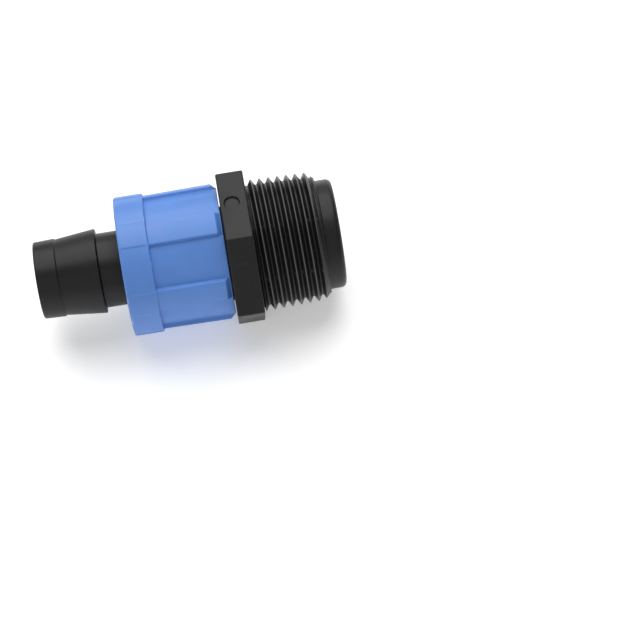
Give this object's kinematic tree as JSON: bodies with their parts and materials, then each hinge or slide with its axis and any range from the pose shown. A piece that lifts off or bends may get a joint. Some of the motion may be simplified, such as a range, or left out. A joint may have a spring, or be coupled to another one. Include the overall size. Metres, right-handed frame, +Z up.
{
  "type": "drip tape adapter",
  "caption": "Drip tape adapter: barbed spigot with a ribbed lock nut on a coarse thread, a spanner hexagon and a male taper pipe thread.",
  "frame": {"origin": "on the axis of the waterway, in the plane of the hexagon's face on the pipe thread side", "axes": "+X along the waterway, out of the pipe thread end; +Z up, at right angles to the upper flat of the hexagon"},
  "size_m": [0.0613, 0.0334, 0.029],
  "materials": {
    "black_polypropylene": "satin moulded plastic",
    "blue_polypropylene": "satin moulded plastic"
  },
  "bodies": {
    "adapter": {"adapter_body": "black_polypropylene"},
    "nut": {"lock_nut": "blue_polypropylene"}
  },
  "joints": [
    {"name": "nut_travel", "type": "slide", "parent": "adapter", "child": "nut", "axis": [-1, 0, 0], "range_m": [0, 0.0072]}
  ]
}
